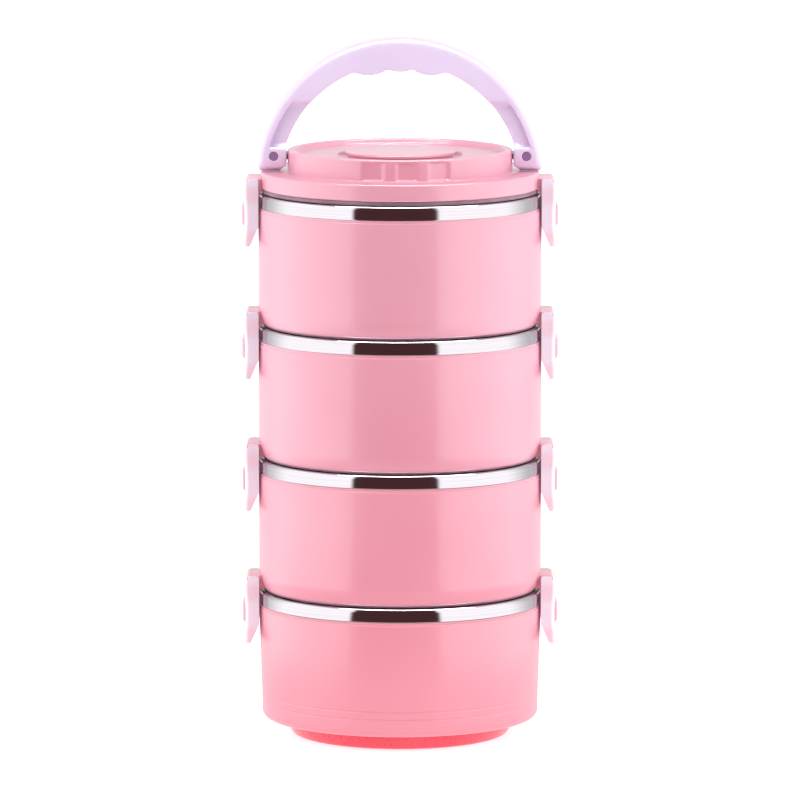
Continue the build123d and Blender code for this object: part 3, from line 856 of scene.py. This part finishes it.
def buildLatch(name, level, side):
    look = latchLook
    left, right, topArc, bottom = latchSkin(look)
    rows, across, cornerSteps, webSteps = 34, 9, 5, 14
    half = look["halfWidth"]
    verts, columns = [], []
    # columns run from the front cheek's inner edge round the web to the back cheek's inner edge
    for j in range(across + 1):
        columns.append(("cheek", j / across, -1))
    for j in range(1, cornerSteps + 1):
        columns.append(("corner", j / cornerSteps, -1))
    for j in range(1, webSteps):
        columns.append(("web", j / webSteps, 0))
    for j in range(cornerSteps, 0, -1):
        columns.append(("corner", j / cornerSteps, 1))
    for j in range(across, -1, -1):
        columns.append(("cheek", j / across, 1))
    for kind, t, face in columns:
        for i in range(rows + 1):
            v = i / rows
            if kind == "cheek":
                x, z = coons(left, right, topArc, bottom, t, v)
                y = half * face
            else:
                edgeX, z = coons(left, right, topArc, bottom, 1, v)
                if kind == "corner":
                    a = t * math.pi / 2
                    x = edgeX + look["corner"] * math.sin(a)
                    y = (half - look["corner"] + look["corner"] * math.cos(a)) * face
                else:
                    x = edgeX + look["corner"] + 0.25 * math.sin(math.pi * t)
                    y = (half - look["corner"]) * (2 * t - 1)
            verts.append((x, y, z))
    faces = []
    stride = rows + 1
    for j in range(len(columns) - 1):
        kinds = (columns[j][0], columns[j + 1][0])
        for i in range(rows):
            here, beside = j * stride + i, (j + 1) * stride + i
            zMid = verts[here][2]
            if "web" in kinds and zMid > look["webTop"]:
                continue
            if kinds == ("corner", "corner") and columns[j][2] != columns[j + 1][2]:
                continue
            if "corner" in kinds and zMid > look["webTop"] and max(columns[j][1], columns[j + 1][1]) > 0.61 \
                    and "cheek" not in kinds:
                continue
            faces.append((here, here + 1, beside + 1, beside))
    rim = rimTops[level]
    skin = meshPiece("skin", [(x * side, y, z + rim) for x, y, z in verts], faces)
    with meshEdit(skin) as bm:
        bmesh.ops.recalc_face_normals(bm, faces=bm.faces)
        # the skin must face outward before it is thickened
        probe = max(bm.faces, key=lambda f: f.calc_center_median().x * side)
        if probe.normal.x * side < 0:
            bmesh.ops.reverse_faces(bm, faces=bm.faces)
        bmesh.ops.delete(bm, geom=[v for v in bm.verts if not v.link_faces], context="VERTS")
    wall = skin.modifiers.new("wall", "SOLIDIFY")
    wall.thickness = look["thick"] * mm
    wall.offset = -1
    wall.use_even_offset = True
    soft = skin.modifiers.new("soft", "BEVEL")
    soft.width = 0.55 * mm
    soft.segments = 3
    soft.limit_method = "ANGLE"
    soft.angle_limit = math.radians(50)
    bakeModifiers(skin)
    near, far, wide, down, up = look["hook"]
    hook = [block("hook", (near, -wide, rim - down), (far, wide, rim - up), 0.3)]
    near, far, up = look["ribReach"]
    for left, right, down in look["ribs"]:
        hook.append(block("rib", (near, left, rim - down), (far, right, rim - up), 0.25))
    for part in hook:
        for v in part.data.vertices:
            v.co.x *= side
    return tidyMesh(join(name, [skin] + hook))


def buildPad(name, level, side):
    look = latchLook
    low, high = nodeBox(f"latch_pad_{level}_{'left' if side < 0 else 'right'}")
    face = max(abs(low[0]), abs(high[0]))
    rim = rimTops[level]
    top = rim + look["top"] - look["padTop"]
    rows, cols = 14, 18
    verts, faces = [], []
    for i in range(rows + 1):
        for j in range(cols + 1):
            u, v = j / cols * 2 - 1, i / rows * 2 - 1
            fall = max(abs(u) ** 12, abs(v) ** 9)
            y = look["padHalf"] * u
            z = top - look["padHeight"] * (i / rows)
            ridge = 0.05 * math.cos(v * math.pi * 3) * (1 - abs(u) ** 6) * (1 - abs(v) ** 6)
            x = face - 0.2 + ridge - 0.9 * fall
            verts.append((x * side, y, z))
    for i in range(rows):
        for j in range(cols):
            a = i * (cols + 1) + j
            faces.append((a, a + 1, a + cols + 2, a + cols + 1))
    pad = meshPiece(name, verts, faces)
    with meshEdit(pad) as bm:
        bmesh.ops.recalc_face_normals(bm, faces=bm.faces)
        if sum(f.normal.x * side for f in bm.faces) < 0:
            bmesh.ops.reverse_faces(bm, faces=bm.faces)
        edges = [e for e in bm.edges if e.is_boundary]
        for v in bmesh.ops.extrude_edge_only(bm, edges=edges)["geom"]:
            if isinstance(v, bmesh.types.BMVert):
                v.co.x = (face - 1.95) * side * mm
        bmesh.ops.holes_fill(bm, edges=[e for e in bm.edges if e.is_boundary], sides=0)
    return tidyMesh(pad, 50)


for level in (1, 2, 3, 4):
    for name, side in sides:
        title = name.capitalize()
        body = f"latch_{level}_{name}"
        fitPiece(buildLatch(f"latch{level}{title}", level, side), body, [f"latch_{level}_{name}"],
                 latchWhitePaintedLight)
        fitPiece(buildPad(f"latchPad{level}{title}", level, side), body, [f"latch_pad_{level}_{name}"],
                 pinks["pad"])
        low, high = nodeBox(f"latch_pin_{level}_{name}")
        pin = rod(f"latchPin{level}{title}", ((low[0] + high[0]) / 2, 0, (low[2] + high[2]) / 2), "Y",
                  (high[2] - low[2]) / 2, high[1], 0.2)
        fitPiece(pin, ownerOfLatch[level], [f"latch_pin_{level}_{name}"], pinSteel)
print("latches built")


handleLook = {
    "outer": 66.6,
    "inner": 55.0,
    "crown": 4.5,          # width of the rounded outer band
    "armDepth": 4.0,       # half thickness of the recessed arms
    "crownDepth": 6.9,
    "gripDepth": 8.0,
    "blockDepth": 6.6,
    "blockDrop": 6.8,
    "blockInner": 51.95,
    "softness": 3.8,       # rounding of the outer edges
    "pocketTop": ((291.5, 293.8), (289.7, 294.3)),     # inner and outer ends of each sloping facet
    "pocketFoot": ((270.2, 275.4), (272.0, 272.5)),
    "footRun": 273.2,
    "lobeRadius": 15.0,
    "lobeDepth": 3.9,
    "lobeSpacing": 14.4,
    "rows": 460,
}


def archInner(look, phi):
    # inner radius of the arch at an angle from the top, with three finger lobes
    reach = look["inner"] - look["lobeDepth"] + look["lobeRadius"]
    radius = look["inner"]
    lobes = []
    for number in (-1, 0, 1):
        off = phi - number * math.asin(look["lobeSpacing"] / reach)
        inside = look["lobeRadius"] ** 2 - (reach * math.sin(off)) ** 2
        if inside > 0:
            lobes.append(reach * math.cos(off) - math.sqrt(inside))
    if lobes:
        # soften where two lobes meet and where the last one runs out
        k = 2.2
        values = lobes + [radius]
        radius = -math.log(sum(math.exp(-k * v) for v in values)) / k
    return radius


def handleSection(look, inner, outer, web, crown, soft):
    # half section as (distance from the inner edge, half depth) pairs, inner to outer
    band = outer - look["crown"]
    edge = 0.7
    points = [(inner, 0.0), (inner, (web - edge) * 0.5), (inner, web - edge)]
    for s in range(1, 5):
        a = s / 4 * math.pi / 2
        points.append((inner + edge - edge * math.cos(a), web - edge + edge * math.sin(a)))
    for s in range(1, 6):
        points.append((inner + edge + (band - 0.5 - inner - edge) * s / 6, web))
    rim = crown - web
    points += [(band - 0.45, web), (band - 0.3, web + rim * 0.12), (band - 0.12, web + rim * 0.85),
               (band + 0.1, crown)]
    rise = outer - soft
    points.append(((band + 0.1 + rise) / 2, crown))
    for s in range(0, 9):
        a = s / 8 * math.pi / 2
        points.append((rise + soft * math.sin(a), crown - soft + soft * math.cos(a)))
    points.append((outer, (crown - soft) * 0.5))
    points.append((outer, 0.0))
    return points


def atPin(piece, side, face, depth):
    # turns a small lathed piece to lie along Y at the cross pin, its mouth on the block's face
    return movePiece(piece, lambda x, y, z: (pinX * side + x, face * (depth - z), swingZ + y))


def buildHandle():
    look = handleLook
    centreZ = archTop - look["outer"]
    phiEnd = math.acos((look["footRun"] - centreZ) / look["inner"])
    rows = []
    count = look["rows"]
    for i in range(count + 1):
        phi = phiEnd * (2 * i / count - 1)
        rows.append((math.sin(phi), math.cos(phi), archInner(look, phi)))
    verts, loops = [], []

    def between(ends, share):
        inside, outside = ends
        return [a + (b - a) * min(1, max(0, share)) for a, b in zip(inside, outside)]

    def depthAt(z, share):
        low, high = between(look["pocketFoot"], share), between(look["pocketTop"], share)
        web = look["blockDepth"] + (look["armDepth"] - look["blockDepth"]) * smoothStep(z, *low)
        web += (look["gripDepth"] - look["armDepth"]) * smoothStep(z, *high)
        crown = look["blockDepth"] + (look["crownDepth"] - look["blockDepth"]) * smoothStep(z, *low)
        crown += (look["gripDepth"] - look["crownDepth"]) * smoothStep(z, high[0] - 2, high[1] + 1)
        return web, crown

    def addLoop(place, inner, outer, scale=1.0, soft=None):
        # place maps a distance across the section to X and Z
        soft = look["softness"] if soft is None else soft
        base = handleSection(look, inner, outer, look["armDepth"], look["crownDepth"], soft)
        loop = []
        front, back = [], []
        for index, (r, _) in enumerate(base):
            x, z = place(r)
            web, crown = depthAt(z, (r - inner) / (outer - inner - look["crown"]))
            depth = handleSection(look, inner, outer, web, max(crown, web), soft)[index][1] * scale
            front.append((x, -depth, z))
            back.append((x, depth, z))
        for point in front + back[-2:0:-1]:
            loop.append(len(verts))
            verts.append(point)
        loops.append(loop)

    # left block from its foot up, the arch, then the right block down
    def blockRows(side):
        result = []
        steps = 16
        for s in range(1, steps + 1):  # rows turn from the arch's slope to level
            t = s / steps
            zOuter = centreZ + look["outer"] * math.cos(phiEnd)
            zOuter = zOuter + (swingZ - zOuter) * t
            xOuter = math.sqrt(look["outer"] ** 2 - (zOuter - centreZ) ** 2)
            zInner = look["footRun"] + (swingZ - look["footRun"]) * t
            xInner = look["blockInner"] + (look["inner"] * math.sin(phiEnd) - look["blockInner"]) * (1 - t)
            result.append((xInner * side, zInner, xOuter * side, zOuter, 1.0))
        xOuter = math.sqrt(look["outer"] ** 2 - (swingZ - centreZ) ** 2)
        under = 22
        for s in range(1, under + 1):
            a = s / under * math.pi / 2
            drop = look["blockDrop"] * math.sin(a)
            pull = 1.9 * smoothStep(drop, 2.5, look["blockDrop"]) ** 2
            z = swingZ - drop
            result.append(((look["blockInner"] + pull * 1.5) * side, z, (xOuter - pull * 0.5) * side, z,
                           math.cos(a) ** 0.85))
        return result

    def addRow(row):
        xi, zi, xo, zo, scale = row
        length = math.hypot(xo - xi, zo - zi)

        def place(r):
            return xi + (xo - xi) * r / length, zi + (zo - zi) * r / length
        addLoop(place, 0.0, length, max(scale, 0.02))

    for row in reversed(blockRows(-1)):
        addRow(row)
    for across, up, inner in rows:
        addLoop(lambda r: (across * r, centreZ + up * r), inner, look["outer"])
    for row in blockRows(1):
        addRow(row)
    faces = []
    width = len(loops[0])
    for a, b in zip(loops, loops[1:]):
        for j in range(width):
            k = (j + 1) % width
            faces.append((a[j], a[k], b[k], b[j]))
    faces.append(tuple(loops[0]))
    faces.append(tuple(reversed(loops[-1])))
    bail = tidyMesh(meshPiece("handle", verts, faces), 40)
    for _, side in sides:
        for face in (-1, 1):  # sunk seats for the pin heads, with a small lead-in
            seat = lathe("seat", [(0, -0.2), (2.9, -0.2), (2.15, 0.6, 0.1), (2.15, 2.0), (0, 2.0)],
                         closed=False, segments=48)
            carve(bail, tidyMesh(atPin(seat, side, face, look["blockDepth"] + 0.15)))
        carve(bail, rod("bore", (side * look["blockInner"], 0, swingZ), "X", 1.95, 4.5, 0.05))
    return tidyMesh(bail, 40)


fitPiece(buildHandle(), "handle", ["handle"], white)
for name, side in sides:
    low, high = nodeBox(f"pivot_shaft_{name}")
    shaft = rod(f"pivotShaft{name.capitalize()}", ((low[0] + high[0]) / 2, 0, swingZ), "X",
                (high[2] - low[2]) / 2, (high[0] - low[0]) / 2, 0.3)
    fitPiece(shaft, "handle", [f"pivot_shaft_{name}"], pinSteel)
    low, high = nodeBox(f"cross_pin_{name}")
    heads = []
    for face in (-1, 1):
        head = lathe("head", [(0, 0.12), (1.1, 0.06), (1.75, 0.0, 0.15), (2.1, 0.35, 0.15), (2.1, 1.4),
                              (0, 1.4)], closed=False, segments=48)
        heads.append(atPin(head, side, face, high[1]))
    heads.append(rod("shank", (pinX * side, 0, swingZ), "Y", 0.9, high[1] - 1.0, 0.05))
    fitPiece(tidyMesh(join(f"crossPin{name.capitalize()}", heads)), "handle", [f"cross_pin_{name}"],
             headSteel)
print("handle built")


stageLook = {
    "frontShade": (0.13, 0.05, 0.055),   # the dim room straight in front of the object
    "frontTurn": 3.7,
    "frontHalf": 34.2,
    "sideGlow": 2.25,
    "backGlow": 1.0,
    "topGlow": (0.86, 0.70, 0.77),
    "floorHalf": 9000,
    "floorNear": (1.25, 0.86, 0.9),
    "floorNearReach": 0.33,
    "topLight": 4.5,
    "edgeLight": 90.0,
    "fillLight": 10.0,
}


def roomColour(tree, output):
    # how bright the studio is in each direction round the object: dim in front, bright at the sides
    look = stageLook
    _, y, z, reach = axesOf(tree, output, math.radians(look["frontTurn"]))
    facing = mathNode(tree, "DIVIDE", y, mathNode(tree, "MAXIMUM", reach, 0.0001))
    edge = -math.cos(math.radians(look["frontHalf"]))
    around = softStep(tree, facing, 0.1, 0.75, look["sideGlow"], look["backGlow"])
    ring = mixTwo(tree, softStep(tree, facing, edge - 0.02, edge + 0.02), look["frontShade"], around)
    return ring, z, reach


def buildFloor():
    look = stageLook
    half = look["floorHalf"]
    corners = [(-half, -half, 0), (half, -half, 0), (half, half, 0), (-half, half, 0)]
    floor = meshPiece("studioFloor", corners, [(0, 1, 2, 3)])
    material, tree, shader = newMaterial("studioFloor")
    grain = noiseAt(tree, 8, 2.0)
    paper = blendColours(tree, grain.outputs["Fac"], (0.94, 0.93, 0.935, 1), (0.96, 0.955, 0.957, 1))
    tree.links.new(paper, shader.inputs["Base Color"])
    shader.inputs["Roughness"].default_value = 0.7
    shader.inputs["Specular IOR Level"].default_value = 0.0
    shader.inputs["Emission Color"].default_value = (1, 1, 1, 1)
    shader.inputs["Emission Strength"].default_value = 0.62
    ring, _, reach = roomColour(tree, "Object")
    near = softStep(tree, reach, look["floorNearReach"] * 0.6, look["floorNearReach"])
    glow = tree.nodes.new("ShaderNodeEmission")
    tree.links.new(mixTwo(tree, near, look["floorNear"], ring), glow.inputs["Color"])
    tree.links.new(forCamera(tree, glow.outputs["Emission"], shader.outputs["BSDF"]),
                   tree.nodes["Material Output"].inputs["Surface"])
    floor.data.materials.append(material)


def softbox(name, place, aim, size, energy):
    light = bpy.data.lights.new(name, "AREA")
    light.shape = "ELLIPSE"
    light.size, light.size_y = size
    light.energy = energy
    panel = bpy.data.objects.new(name, light)
    panel.location = place
    panel.rotation_euler = (Vector(aim) - panel.location).to_track_quat("-Z", "Y").to_euler()
    panel.visible_camera = False
    bpy.context.scene.collection.objects.link(panel)
    return panel


def buildLights():
    look = stageLook
    softbox("softboxTop", (0.1, -0.35, 1.7), (0, 0, 0.2), (0.7, 0.7), look["topLight"])
    # glints along the edges only
    edge = softbox("softboxEdge", (0.05, -0.3, 1.7), (0, 0, 0.2), (2.6, 0.45), look["edgeLight"])
    edge.visible_diffuse = False
    # soft fill from the front that the bright steel doesn't show
    fill = softbox("softboxFront", (0, -3, 0.6), (0, 0, 0.15), (1.6, 1.6), look["fillLight"])
    fill.visible_glossy = False


def buildWorld():
    world = bpy.data.worlds.new("studioWorld")
    bpy.context.scene.world = world
    world.use_nodes = True
    tree = world.node_tree
    tree.nodes.clear()
    ring, z, _ = roomColour(tree, "Generated")
    sky = mixTwo(tree, softStep(tree, z, 0.5, 0.8), ring, stageLook["topGlow"])
    soft = tree.nodes.new("ShaderNodeBackground")
    tree.links.new(sky, soft.inputs["Color"])
    plain = tree.nodes.new("ShaderNodeBackground")
    plain.inputs["Color"].default_value = (1, 1, 1, 1)
    plain.inputs["Strength"].default_value = 1.05
    out = tree.nodes.new("ShaderNodeOutputWorld")
    tree.links.new(forCamera(tree, soft.outputs["Background"], plain.outputs["Background"]),
                   out.inputs["Surface"])


def buildCamera():
    # a long lens at the height of the upper tiers, looking slightly down
    look = {"distance": 3.7066, "pitch": 7.644, "aim": 0.15479, "lens": 362.6}
    data = bpy.data.cameras.new("studioCamera")
    data.sensor_width = 36
    data.lens = look["lens"]
    data.clip_end = 60
    camera = bpy.data.objects.new("studioCamera", data)
    pitch = math.radians(look["pitch"])
    away, rise = look["distance"] * math.cos(pitch), look["distance"] * math.sin(pitch)
    camera.location = (0, -away, look["aim"] + rise)
    camera.rotation_euler = (math.radians(90) - pitch, 0, 0)
    bpy.context.scene.collection.objects.link(camera)
    bpy.context.scene.camera = camera


buildFloor()
buildLights()
buildWorld()
buildCamera()
bpy.context.scene.view_settings.view_transform = "Standard"
print("stage ready")
